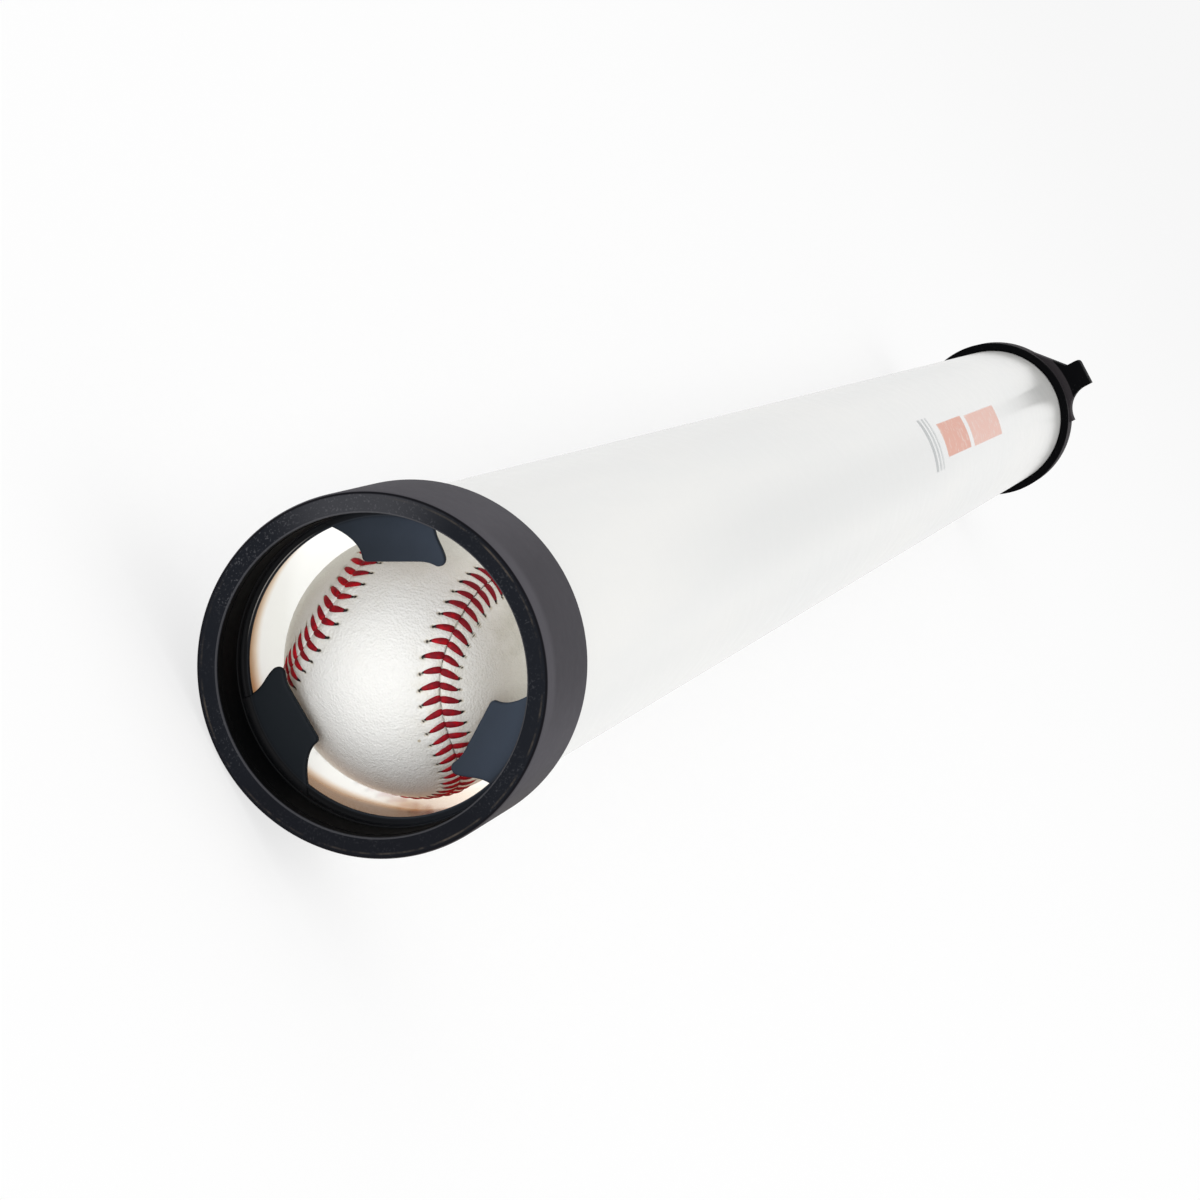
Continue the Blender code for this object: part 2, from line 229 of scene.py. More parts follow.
def addPiece(mesh, name, material, body, slot, *replaced, sharp=32):
    # the mesh as a piece of the object, shaded, on its body, with the CAD parts it replaces hidden
    mesh.shade_smooth()
    mesh.set_sharp_from_angle(angle=radians(sharp))
    mesh.materials.clear()
    mesh.materials.append(material)
    piece = newObject(name, mesh)
    if body:
        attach(piece, body)
    if replaced:
        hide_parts(*replaced)
    return piece


def finish(bm, name, material, body, slot, *replaced, merge=0.0, sharp=32):
    if merge:
        bmesh.ops.remove_doubles(bm, verts=bm.verts, dist=merge)
    bmesh.ops.recalc_face_normals(bm, faces=bm.faces)
    return addPiece(meshFrom(bm, name), name, material, body, slot, *replaced, sharp=sharp)


def closeSheets(bm, sheets, rows, columns):
    # faces on two grids of vertices, and the rim that joins them into a closed skin
    for sheet in sheets:
        for i in range(rows - 1):
            for j in range(columns - 1):
                a = i * columns + j
                bm.faces.new([sheet[k] for k in (a, a + 1, a + columns + 1, a + columns)])
    rim = list(range(columns)) + [i * columns + columns - 1 for i in range(1, rows)]
    rim += [(rows - 1) * columns + j for j in range(columns - 2, -1, -1)]
    rim += [i * columns for i in range(rows - 2, 0, -1)]
    for a, b in zip(rim, rim[1:] + rim[:1]):
        bm.faces.new((sheets[0][a], sheets[0][b], sheets[1][b], sheets[1][a]))


def arc(centre, radius, start, end, steps=8):
    # points of a round between two angles in degrees
    turns = [radians(start + (end - start) * i / steps) for i in range(steps + 1)]
    return [(centre[0] + radius * cos(turn), centre[1] + radius * sin(turn)) for turn in turns]


def turned(profile, steps=240):
    # a closed profile of (radius, station) carried round the tube's line
    bm = bmesh.new()
    rings = []
    for k in range(steps):
        rings.append([bm.verts.new(place(r, tau * k / steps, s)) for r, s in profile])
    for near, far in zip(rings, rings[1:] + rings[:1]):
        for a in range(len(profile)):
            b = (a + 1) % len(profile)
            bm.faces.new((near[a], near[b], far[b], far[a]))
    return bm


# In the dictionaries a Fade is where a change begins and ends. A Band is where something begins and
# ends, and how soft both ends are. A Span is a clock angle in radians, how far from it something begins
# to fade, and how far from it nothing is left.

# Tube

tube = {
    "colour": (0.81, 0.805, 0.78),
    "shadeColour": (0.745, 0.755, 0.75),
    # painted shade: a darker line near the top, away from both ends, standing in for less light through the
    # wall
    "greyColour": (0.70, 0.705, 0.695),
    "greySpan": (0.22, 0.05, 0.50),
    "greyBand": (330 * mm, 650 * mm, 260 * mm),
    "streakStretch": (2.0, 0.3, 2.0),
    "streakFade": (0.35, 0.65),
    # stops of the inner wall's colour and of its glow, from the brown shade at the ring to white
    "insideStops": [
        (0.0, (0.08, 0.05, 0.03)), (0.35, (0.15, 0.10, 0.06)),
        (0.7, (0.32, 0.27, 0.22)), (1.0, (0.50, 0.50, 0.485))],
    "glowStops": [
        (0.0, (0.05, 0.02, 0.008)), (0.35, (0.25, 0.125, 0.05)),
        (0.7, (0.43, 0.335, 0.25)), (1.0, (0.52, 0.52, 0.51))],
    "shadeFade": (22 * mm, 33 * mm),
    "wander": 3 * mm,  # how far the shade's edge strays
    "lowSpan": (1.95, 0.0, 1.25),  # where the shade is darkest and reaches further in
    "lowReach": 14 * mm,
    "sideShade": 0.72,  # how dark it is elsewhere
    # the last of the shade along its darkest line
    "tailSpan": (1.95, 0.1, 0.5),
    "tailFade": (30 * mm, 110 * mm),
    "tailShade": 0.5,
    # the wall glows near the mouth, and less further back
    "glowFade": (120 * mm, 450 * mm),
    "farGlow": (0.15, 0.15, 0.145),
    "roughness": 0.17,
    "shader": {"IOR": 1.75, "Transmission Weight": 0.06, "Emission Strength": 1.0},
    "edge": 0.25 * mm,
    "rows": 60,
}
inkPrint = {
    # plain bars: start and end station, start and end clock angle in degrees, colour
    "bars": [
        (737 * mm, 816 * mm, -5.5, 17, (0.66, 0.28, 0.19)),
        (829 * mm, 937 * mm, -4.5, 17.5, (0.72, 0.40, 0.32)),
        (694 * mm, 701 * mm, -12, 23, (0.40, 0.42, 0.42)),
        (706 * mm, 711 * mm, -12, 23, (0.46, 0.48, 0.48)),
        (716 * mm, 720 * mm, -12, 23, (0.50, 0.52, 0.52)),
    ],
    "thickness": 0.04 * mm,
    "wornFade": (0.50, 0.66),
    "shader": {"IOR": 1.45},
    "roughness": 0.35,
}


def tubeRecipe(board):
    radius, clock, station = board.roundTube()
    inside = 1 - board.fade(radius, boreRadius + 0.3 * wall, boreRadius + 0.7 * wall)
    # outside: soft streaks along the tube
    along = board.add("ShaderNodeMapping", {"Vector": board.here(), "Scale": tube["streakStretch"]})
    paleness = 0.3 + 0.6 * board.fade(board.noise(9, 4, 0.6, along), *tube["streakFade"])
    outer = board.mix(paleness, tube["shadeColour"], tube["colour"])
    # painted shade along a line near the top of the tube
    grey = board.near(clock, *tube["greySpan"]) * board.band(station, *tube["greyBand"])
    outer = board.mix(grey, outer, tube["greyColour"])
    # inside: 0 in the shade at the ring, 1 where the wall is lit
    low = board.near(clock, *tube["lowSpan"])
    depth = station - tube["lowReach"] * low + tube["wander"] * (board.noise(60, 3, 0.6) - 0.5)
    shade = 1 - board.fade(depth, *tube["shadeFade"])
    shade = shade * (tube["sideShade"] + (1 - tube["sideShade"]) * low)
    tail = board.near(clock, *tube["tailSpan"]) * (1 - board.fade(station, *tube["tailFade"]))
    deep = 1 - shade.math("MAXIMUM", tube["tailShade"] * tail)
    inner = board.ramp(deep, tube["insideStops"])
    glow = board.ramp(deep, tube["glowStops"])
    glow = board.mix(board.fade(station, *tube["glowFade"]), glow, tube["farGlow"])
    rough = tube["roughness"] + 0.06 * board.noise(120, 3, 0.6)
    fine = board.noise(900, 2, 0.5) + 2.5 * board.noise(14, 2, 0.5)
    return {
        "Base Color": board.mix(inside, outer, inner),
        "Emission Color": board.mix(inside, (0.0, 0.0, 0.0), glow),
        "Roughness": rough,
        "Normal": board.bump(fine, 0.03 * mm, 0.6),
    }


def inkRecipe(board):
    # a little worn, so that the tube's grey shows in the colour of each bar
    shade = board.attribute("inkColour", "Color")
    worn = board.fade(board.noise(240, 4, 0.7), *inkPrint["wornFade"])
    return {
        "Base Color": board.mix(0.45 * worn, shade, tube["colour"]),
        "Roughness": inkPrint["roughness"] + 0.1 * worn,
    }


def makePrint():
    bm = bmesh.new()
    layer = bm.verts.layers.float_color.new("inkColour")
    low, high = tubeRadius - inkPrint["thickness"], tubeRadius + inkPrint["thickness"]
    for start, end, fromClock, toClock, colour in inkPrint["bars"]:
        stations = np.linspace(start, end, max(2, round((end - start) / (10 * mm)) + 1))
        clocks = np.radians(np.linspace(fromClock, toClock, 2 + round((toClock - fromClock) / 2)))
        sheets = [[bm.verts.new(place(r, c, s)) for s in stations for c in clocks] for r in (low, high)]
        for vert in sheets[0] + sheets[1]:
            vert[layer] = (*colour, 1.0)
        closeSheets(bm, sheets, len(stations), len(clocks))
    ink = paint("printInk", inkPrint["shader"], inkRecipe)
    finish(bm, "tubePrint", ink, "tube_body", "print_ink")


def makeTube():
    edge = tube["edge"]
    stations = np.linspace(tubeFront + edge, tubeRear - edge, tube["rows"] + 1)
    profile = [(tubeRadius - edge, tubeFront)] + [(tubeRadius, s) for s in stations]
    profile += [(tubeRadius - edge, tubeRear), (boreRadius + edge, tubeRear)]
    profile += [(boreRadius, s) for s in stations[::-1]] + [(boreRadius + edge, tubeFront)]
    frosted = paint("frostedTube", tube["shader"], tubeRecipe)
    finish(turned(profile), "frostedTube", frosted, "tube_body", "frosted_tube", "tube")
    makePrint()
    print("tube and print made")


# Collar

lipRadius = tubeRadius - 1.4 * mm
collar = {
    "lipDepth": 14.3 * mm,
    "outerRound": 1.4 * mm,
    "innerRound": 1.0 * mm,
    "rearRound": 0.8 * mm,
    "ridgeStation": 3.4 * mm,
    "ridgeHeight": 0.16 * mm,
    "frontColour": (0.0088, 0.0102, 0.0140),
    "sideColour": (0.089, 0.085, 0.096),
    "dullColour": (0.064, 0.061, 0.069),
    "brownColour": (0.055, 0.044, 0.034),
    "roundColour": (0.005, 0.005, 0.007),
    "boreColour": (0.0008, 0.0009, 0.0011),
    "wearColour": (0.095, 0.078, 0.062),
    "dustColour": (0.11, 0.11, 0.12),
    # front: dust speckle, heavier on one side as painted light, a paler stretch of painted light, a darker
    # stretch of painted shade, a thin worn line near the outer edge and a painted highlight along the inner
    # edge
    "upperSpan": (-1.6, 0.3, 1.5),
    "speckleFade": (0.55, 0.70),
    "patchFade": (0.36, 0.60),
    "dustySpan": (-1.13, 0.12, 0.65),
    "cleanSpan": (2.1, 0.6, 1.0),
    "outerLineBand": (collarRadius - 1.75 * mm, collarRadius - 1.50 * mm, 0.25 * mm),
    "innerLineBand": (lipRadius + 0.15 * mm, lipRadius + 0.45 * mm, 0.12 * mm),
    "wornFade": (0.42, 0.66),
    # painted shade on the outer round
    "roundFade": (collarRadius - 1.1 * mm, collarRadius - 0.7 * mm),
    # side, painted paler than the front as painted light: where it begins and ends, its stretch of painted
    # shade and its brown stretch
    "sideFade": (0.35 * mm, 0.7 * mm),
    "sideEndFade": (collarRear - 0.5 * mm, collarRear - 0.2 * mm),
    "sideRadiusFade": (collarRadius - 0.6 * mm, collarRadius - 0.3 * mm),
    "dullSpan": (0.2, 0.25, 0.75),
    "dullFade": (4 * mm, 9 * mm),
    "brownSpan": (1.9, 0.3, 1.0),
    # painted shade in the bore
    "boreFade": (0.5 * mm, 1.2 * mm),
    "boreRadiusFade": (boreRadius + 0.9 * mm, boreRadius + 1.3 * mm),
    "shader": {"IOR": 1.4, "Specular IOR Level": 0.07},
    "roughness": 0.62,
}


def collarRecipe(board):
    radius, clock, station = board.roundTube()
    dots = board.noise(1500, 2, 0.6)
    # painted light: the dust speckle is heavier on one side
    litSide = board.near(clock, *collar["upperSpan"])
    speckle = board.fade(dots, *collar["speckleFade"])
    speckle = speckle * board.fade(board.noise(60, 3, 0.6), *collar["patchFade"])
    front = board.mix(speckle * (0.22 + 0.18 * litSide), collar["frontColour"], collar["dustColour"])
    # painted light on a paler stretch of the lip's front
    front = board.mix(0.32 * board.near(clock, *collar["dustySpan"]), front, collar["dustColour"])
    # painted shade on a darker stretch towards the bottom
    front = board.mix(0.45 * board.near(clock, *collar["cleanSpan"]), front, collar["roundColour"])
    worn = board.fade(board.noise(90, 4, 0.7), *collar["wornFade"]) * (1 - litSide)
    outerLine = board.band(radius, *collar["outerLineBand"]) * worn
    front = board.mix(0.6 * outerLine, front, collar["wearColour"])
    # painted highlight along the lip's inner edge
    front = board.mix(0.45 * board.band(radius, *collar["innerLineBand"]), front, collar["dustColour"])
    # painted shade on the outer round
    front = board.mix(board.fade(radius, *collar["roundFade"]), front, collar["roundColour"])
    # painted shade on the side near the top, back from the lip
    shadedSide = board.near(clock, *collar["dullSpan"]) * board.fade(station, *collar["dullFade"])
    soft = board.mix(shadedSide, collar["sideColour"], collar["dullColour"])
    soft = board.mix(0.82 + 0.18 * board.noise(25, 4, 0.6), (0.0, 0.0, 0.0), soft)
    soft = board.mix(0.5 * board.near(clock, *collar["brownSpan"]), soft, collar["brownColour"])
    side = board.fade(station, *collar["sideFade"]) * (1 - board.fade(station, *collar["sideEndFade"]))
    side = side * board.fade(radius, *collar["sideRadiusFade"])
    # painted light: the side is much paler than the front, though both are the same rubber
    colour = board.mix(side, front, soft)
    # painted shade in the bore
    bore = board.fade(station, *collar["boreFade"]) * (1 - board.fade(radius, *collar["boreRadiusFade"]))
    colour = board.mix(bore, colour, collar["boreColour"])
    rough = collar["roughness"] + 0.20 * board.noise(300, 3, 0.6)
    return {
        "Base Color": colour,
        "Roughness": rough,
        "Normal": board.bump(dots + 0.5 * board.noise(500, 3, 0.6), 0.05 * mm, 0.7),
    }


def makeCollar():
    rubber = paint("collarRubber", collar["shader"], collarRecipe)
    lip, ridge, depth = lipRadius, collar["ridgeStation"], collar["lipDepth"]
    top = lip - collar["ridgeHeight"]
    inner, outer, rear = collar["innerRound"], collar["outerRound"], collar["rearRound"]
    profile = [(lip, ridge + 0.5 * mm), (top, ridge + 0.25 * mm), (top, ridge), (lip, ridge - 0.1 * mm)]
    profile += arc((lip + inner, inner), inner, 180, 270)
    profile += arc((collarRadius - outer, outer), outer, 270, 360)
    profile += arc((collarRadius - rear, collarRear - rear), rear, 0, 90)
    profile += [(socketRadius + rear, collarRear), (socketRadius, collarRear - rear)]
    profile += [(socketRadius, depth), (lip + gap, depth), (lip, depth - gap)]
    finish(turned(profile), "collar", rubber, "tube_body", "black_rubber", "pickup_collar")
    print("collar made")


# Flaps and their ring

flangeRadius = boreRadius - 2.0 * mm
ring = {
    "flangeThickness": 1.6 * mm,
    "flangeRound": 0.45 * mm,
    "flangeFillet": 0.8 * mm,
    "edgeRound": 0.35 * mm,
}
flap = {
    "thickness": 2.0 * mm,
    "reach": 14.35 * mm,
    "edgeRound": 0.6 * mm,
    "fillet": 1.6 * mm,
    "hornSide": 13.6 * mm,
    "hornLean": 2.7 * mm,
    "hornRadius": 1.95 * mm,
    "hornDrop": 1.3 * mm,
    "hornCurl": 5.2 * mm,
    "hornCheek": 20,
    "hornChin": -125,
    "flareTip": 5.6 * mm,
    "flareRoot": 18.6 * mm,
    "flareCorner": 1.5 * mm,
    # handles of the curved sides, as (clockwise, outwards) shares of each curve's height
    "hornRootPull": (-0.06, -0.55),
    "hornCheekPull": (-0.08, 0.35),
    "curlChinPull": (-0.95, 0.55),
    "curlTipPull": (1.6, 0.0),
    "flareTipPull": (-0.06, 0.42),
    "flareRootPull": (0.66, -0.18),
    "bendLength": 4.0 * mm,
    "buried": 0.35 * mm,
    "columns": 44,
    "rows": 34,
    "colour": (0.0080, 0.0110, 0.0145),
    "paleColour": (0.044, 0.058, 0.083),
    "wallColour": (0.0012, 0.0014, 0.0020),
    "edgeColour": (0.040, 0.046, 0.056),
    "glintColour": (0.34, 0.32, 0.30),
    "paleClock": 0.35,
    "paleFade": (-0.9, 1.1),
    "paleRadiusFade": (29 * mm, 39 * mm),
    "wallFade": (flangeRadius - 0.8 * mm, flangeRadius + 0.9 * mm),
    "edgeBand": (flangeRadius + 0.1 * mm, flangeRadius + 0.25 * mm, 0.15 * mm),
    "glintBand": (flangeRadius + 0.45 * mm, flangeRadius + 0.60 * mm, 0.10 * mm),
    "glintSpan": (-2.05, 0.15, 0.5),
    "shader": {"IOR": 1.4, "Specular IOR Level": 0.16},
    "roughness": 0.50,
}


def flapRecipe(board):
    # painted light: paler towards the top of the tube as it lies, mottled; painted shade: near black
    # towards its wall
    radius, clock, _ = board.roundTube()
    turn = (clock - flap["paleClock"]).math("COSINE")
    litShare = board.fade(turn + 0.5 * (board.noise(70, 4, 0.6) - 0.5), *flap["paleFade"])
    litShare = litShare * (0.72 + 0.35 * board.fade(radius, *flap["paleRadiusFade"]))
    colour = board.mix(litShare, flap["colour"], flap["paleColour"])
    shaded = board.fade(radius, *flap["wallFade"]) * (1 - 0.35 * litShare)
    colour = board.mix(shaded, colour, flap["wallColour"])
    # painted highlight on the flange's edge
    edge = board.band(radius, *flap["edgeBand"])
    colour = board.mix(0.6 * edge * (0.3 + litShare), colour, flap["edgeColour"])
    glint = board.band(radius, *flap["glintBand"]) * board.near(clock, *flap["glintSpan"])
    colour = board.mix(0.8 * glint, colour, flap["glintColour"])
    return {
        "Base Color": colour,
        "Roughness": flap["roughness"] + 0.15 * board.noise(350, 3, 0.6),
        "Normal": board.bump(board.noise(1600, 2, 0.5), 0.03 * mm, 0.5),
    }


def resample(points, count, shares=None):
    # points at even or given shares of a line's length
    points = np.array(points)
    lengths = np.concatenate(([0], np.cumsum(np.linalg.norm(np.diff(points, axis=0), axis=1))))
    wanted = np.linspace(0, 1, count) if shares is None else np.array(shares)
    return np.stack([np.interp(wanted * lengths[-1], lengths, points[:, k]) for k in (0, 1)], 1)


def pulled(start, startPull, end, endPull, steps=24):
    # a curve between two points whose handles are shares of its height
    rise = abs(end[1] - start[1])
    first, last = Vector((*start, 0)), Vector((*end, 0))
    near, far = [Vector((*pull, 0)) * rise for pull in (startPull, endPull)]
    return [(p.x, p.y) for p in interpolate_bezier(first, first + near, last + far, last, steps)]


def flapSides():
    # the flap's four sides as (clockwise, outwards): wall, flared side, tip and hooked side
    tip = boreRadius - flap["reach"]
    top = boreRadius + flap["buried"]
    side, horn, corner = flap["hornSide"], flap["hornRadius"], flap["flareCorner"]
    hook = (side + flap["hornLean"] - horn, tip - flap["hornDrop"] + horn)
    turn = (-flap["flareTip"], tip + corner)
    flareRoot = (-flap["flareRoot"], sqrt(top**2 - flap["flareRoot"] ** 2))
    hornRoot = (side, sqrt(top**2 - side**2))
    middle = (flap["hornCheek"] + flap["hornChin"]) / 2
    cheek = arc(hook, horn, flap["hornCheek"], middle, 10)
    chin = arc(hook, horn, flap["hornChin"], middle, 10)
    flare = pulled(flareRoot, flap["flareRootPull"], (turn[0] - corner, turn[1]), flap["flareTipPull"])
    flare += arc(turn, corner, 180, 225, 6)[1:]
    hooked = pulled(hornRoot, flap["hornRootPull"], cheek[0], flap["hornCheekPull"]) + cheek[1:]
    curl = pulled(chin[0], flap["curlChinPull"], (hook[0] - flap["hornCurl"], tip), flap["curlTipPull"], 12)
    edge = arc(turn, corner, 225, 270, 6) + curl[::-1] + chin[1:]
    clocks = np.linspace(np.arctan2(*flareRoot), np.arctan2(*hornRoot), 60)
    wallLine = [(top * sin(clock), top * cos(clock)) for clock in clocks]
    return wallLine, flare, edge, hooked


def closeShares(count, near, width):
    # shares from 0 to 1 with a few extra ones beside each free edge
    ends = [near * k for k in (0.0, 0.03, 0.12, 0.3, 0.6, 1.0)]
    left = [e / width for e in ends]
    middle = list(np.linspace(left[-1], 1 - left[-1], count))[1:-1]
    return left + middle + [1 - share for share in left[::-1]]


def distanceToLine(points, line):
    # each point's distance to the nearest stretch of a line
    a, b = line[:-1], line[1:]
    along = b - a
    share = ((points[:, None] - a) * along).sum(-1) / (along**2).sum(-1)
    foot = a + np.clip(share, 0, 1)[..., None] * along
    return np.linalg.norm(points[:, None] - foot, axis=-1).min(1)


def flapGrid():
    # a patch between the four sides, and how thick the flap is at each of its points
    wallLine, flare, edge, hooked = flapSides()
    across = closeShares(flap["columns"], flap["edgeRound"], 30 * mm)
    tipWard = closeShares(flap["rows"], flap["edgeRound"], 14 * mm)
    top, bottom = resample(wallLine, 0, across), resample(edge, 0, across)
    left, right = resample(flare, 0, tipWard), resample(hooked, 0, tipWard)
    u, v = np.array(across)[None, :, None], np.array(tipWard)[:, None, None]
    grid = (1 - v) * top[None] + v * bottom[None] + (1 - u) * left[:, None] + u * right[:, None]
    grid -= (1 - u) * ((1 - v) * top[0] + v * bottom[0]) + u * ((1 - v) * top[-1] + v * bottom[-1])
    free = np.concatenate((np.array(flare)[:-1], np.array(edge)[:-1], np.array(hooked)[::-1]))
    flatGrid = grid.reshape(-1, 2)
    edgeRound, half, fillet = flap["edgeRound"], flap["thickness"] / 2, flap["fillet"]
    away = np.minimum(distanceToLine(flatGrid, free), edgeRound)
    thick = half - edgeRound + np.sqrt(np.maximum(0, edgeRound**2 - (edgeRound - away) ** 2))
    root = np.clip(np.linalg.norm(flatGrid, axis=1) - (boreRadius - fillet), 0, fillet)
    thick += fillet - np.sqrt(np.maximum(0, fillet**2 - root**2))
    return grid, thick.reshape(grid.shape[:2])


def makeFlap(number, joint, rubber):
    hinge = Vector(joint["pos_m"])
    clock = np.arctan2(hinge.x, hinge.z - axisHeight)
    station = hinge.y - mouth
    grid, thick = flapGrid()
    rows, columns = thick.shape
    turn = Matrix.Rotation(clock, 4, "Y")
    bm = bmesh.new()
    sheets = []
    for side in (-1, 1):
        sheet = []
        for (x, z), half in zip(grid.reshape(-1, 2), thick.ravel()):
            at = turn @ Vector((x, 0, z))
            sheet.append(bm.verts.new((at.x, mouth + station + side * half, axisHeight + at.z)))
        sheets.append(sheet)
    closeSheets(bm, sheets, rows, columns)
    name = f"flap{number}"
    piece = finish(bm, name, rubber, None, "flap_rubber", f"flap_{number}", merge=0.002 * mm, sharp=60)
    outwards = Vector((hinge.x, 0, hinge.z - axisHeight)).normalized()
    half = outwards * flap["bendLength"] / 2
    hinge + half
    hinge - half
    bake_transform(piece)


def makeRing(rubber):
    front, rear = ringLow.y - mouth, ringHigh.y - mouth
    station = frame["joints"][0]["pos_m"][1] - mouth  # of the flaps' hinge lines
    near = station - ring["flangeThickness"] / 2
    far = station + ring["flangeThickness"] / 2
    edge, fillet, corner = ring["edgeRound"], ring["flangeFillet"], ring["flangeRound"]
    profile = [(tubeRadius, front), (tubeRadius, rear)]
    profile += arc((boreRadius + edge, rear - edge), edge, 90, 180, 4)
    profile += arc((boreRadius - fillet, far + fillet), fillet, 0, -90, 6)
    profile += arc((flangeRadius + corner, far - corner), corner, 90, 180, 5)
    profile += arc((flangeRadius + corner, near + corner), corner, 180, 270, 5)
    profile += arc((boreRadius - fillet, near - fillet), fillet, 90, 0, 6)
    profile += arc((boreRadius + edge, front + edge), edge, 180, 270, 4)
    finish(turned(profile), "flapRing", rubber, "tube_body", "flap_rubber", "flap_ring")


def makeFlaps():
    rubber = paint("flapRubber", flap["shader"], flapRecipe)
    makeRing(rubber)
    for number, joint in enumerate(frame["joints"][:3], start=1):
        makeFlap(number, joint, rubber)
    print("flaps made")


# End cap

cap = {
    "grip": 20.5 * mm,
    "endWall": 3.5 * mm,
    "rearRound": 1.5 * mm,
    "frontRound": 0.8 * mm,
    "tabHeadWidth": 17.6 * mm,
    "tabNeckHeight": 8.0 * mm,
    "tabScoopRadius": 16.0 * mm,
    "tabScoopTurn": (185, 268),
    "tabCorner": 2.4 * mm,
    "tabFlankClock": -37,
    "tabFootClock": 30.5,
    "tabFootSlant": 1.5,
    "tabFootHeight": 2.6 * mm,
    "tabThickness": 14.0 * mm,
    "tabSetback": 3.5 * mm,
    "tabEdge": 0.7 * mm,
    "frontColour": (0.0012, 0.0013, 0.0018),
    "endColour": (0.012, 0.011, 0.013),
    "sideColour": (0.034, 0.030, 0.033),
    "dustColour": (0.05, 0.05, 0.05),
    "sideFade": (capFront + 0.4 * mm, capFront + 3.0 * mm),
    "sideBand": (capRadius - 0.4 * mm, capRadius + 4.0 * mm, 0.5 * mm),
    "frontFade": (capFront + 1.0 * mm, capFront + 4.0 * mm),
    "tabFade": (capRadius, capRadius + 1.0 * mm),
    "dustFade": (0.56, 0.74),
    "patchFade": (0.4, 0.7),
    "shader": {"IOR": 1.4, "Specular IOR Level": 0.06},
    "roughness": 0.60,
}


def capRecipe(board):
    # black at the front and on the tab, a little paler round the side and behind
    radius, _, station = board.roundTube()
    side = board.fade(station, *cap["sideFade"]) * board.band(radius, *cap["sideBand"])
    dust = board.fade(board.noise(900, 3, 0.6), *cap["dustFade"])
    dust = dust * board.fade(board.noise(50, 3, 0.6), *cap["patchFade"])
    onTab = board.fade(radius, *cap["tabFade"])
    onFront = 1 - board.fade(station, *cap["frontFade"])
    colour = board.mix(onTab.math("MAXIMUM", onFront), cap["endColour"], cap["frontColour"])
    colour = board.mix(side, colour, cap["sideColour"])
    return {
        "Base Color": board.mix(0.4 * dust, colour, cap["dustColour"]),
        "Roughness": cap["roughness"] + 0.15 * board.noise(300, 3, 0.6),
        "Normal": board.bump(board.noise(1300, 2, 0.6), 0.05 * mm, 0.6),
    }


def onCircle(radius, clock):
    return radius * sin(radians(clock)), radius * cos(radians(clock))


def tabOutline():
    # the tab seen from the mouth, with its inner edge buried in the cap's skirt
    half = cap["tabHeadWidth"] / 2
    top = capHigh.z - axisHeight
    foot = onCircle(capRadius + cap["tabFootHeight"], cap["tabFootClock"] - cap["tabFootSlant"])
    scoop = cap["tabScoopRadius"]
    corner = cap["tabCorner"]
    points = [onCircle(capRadius - 0.2 * mm, cap["tabFlankClock"])]
    points += [(-half, capRadius + cap["tabNeckHeight"])]
    points += arc((-half + corner, top - corner), corner, 180, 90)
    points += [(half, top)]
    points += arc((half + scoop, foot[1] + scoop), scoop, *cap["tabScoopTurn"], 28)
    points += [foot, onCircle(capRadius - 0.2 * mm, cap["tabFootClock"])]
    inner = (socketRadius + capRadius) / 2
    clocks = np.linspace(cap["tabFootClock"], cap["tabFlankClock"], 24)
    points += [onCircle(inner, clock) for clock in clocks]
    return points


def makeTab():
    rear = capHigh.y - cap["tabSetback"]
    bm = bmesh.new()
    face = bm.faces.new([bm.verts.new((x, rear, axisHeight + z)) for x, z in tabOutline()])
    grown = bmesh.ops.extrude_face_region(bm, geom=[face])
    moved = [v for v in grown["geom"] if isinstance(v, bmesh.types.BMVert)]
    bmesh.ops.translate(bm, verts=moved, vec=(0, -cap["tabThickness"], 0))
    rims = [e for e in bm.edges if abs(e.verts[0].co.y - e.verts[1].co.y) < mm]
    bmesh.ops.bevel(bm, geom=rims, offset=cap["tabEdge"], segments=3, profile=0.5, affect="EDGES")
    bmesh.ops.recalc_face_normals(bm, faces=bm.faces)
    return bm


def makeCap():
    front = tubeRear - cap["grip"]
    floor = capRear - cap["endWall"]
    skirt, back = cap["frontRound"], cap["rearRound"]
    profile = [(socketRadius, front + skirt), (socketRadius + 0.4 * skirt, front)]
    profile += arc((capRadius - skirt, front + skirt), skirt, 270, 360)
    profile += arc((capRadius - back, capRear - back), back, 0, 90)
    profile += [(0.0, capRear), (0.0, floor), (socketRadius, floor)]
    rubber = paint("capRubber", cap["shader"], capRecipe)
    cup = turned(profile)
    bmesh.ops.remove_doubles(cup, verts=cup.verts, dist=0.01 * mm)
    bmesh.ops.recalc_face_normals(cup, faces=cup.faces)
    pair = [newObject("capPart", meshFrom(bm, "capPart")) for bm in (cup, makeTab())]
    union = pair[0].modifiers.new("union", "BOOLEAN")
    union.operation, union.solver, union.object = "UNION", "EXACT", pair[1]
    view = bpy.context.evaluated_depsgraph_get()
    mesh = bpy.data.meshes.new_from_object(pair[0].evaluated_get(view))
    for part in pair:
        bpy.data.objects.remove(part, do_unlink=True)
    mesh.name = "endCap"
    addPiece(mesh, "endCap", rubber, "cap_body", "black_rubber", "end_cap")
    print("end cap made")


# Ball

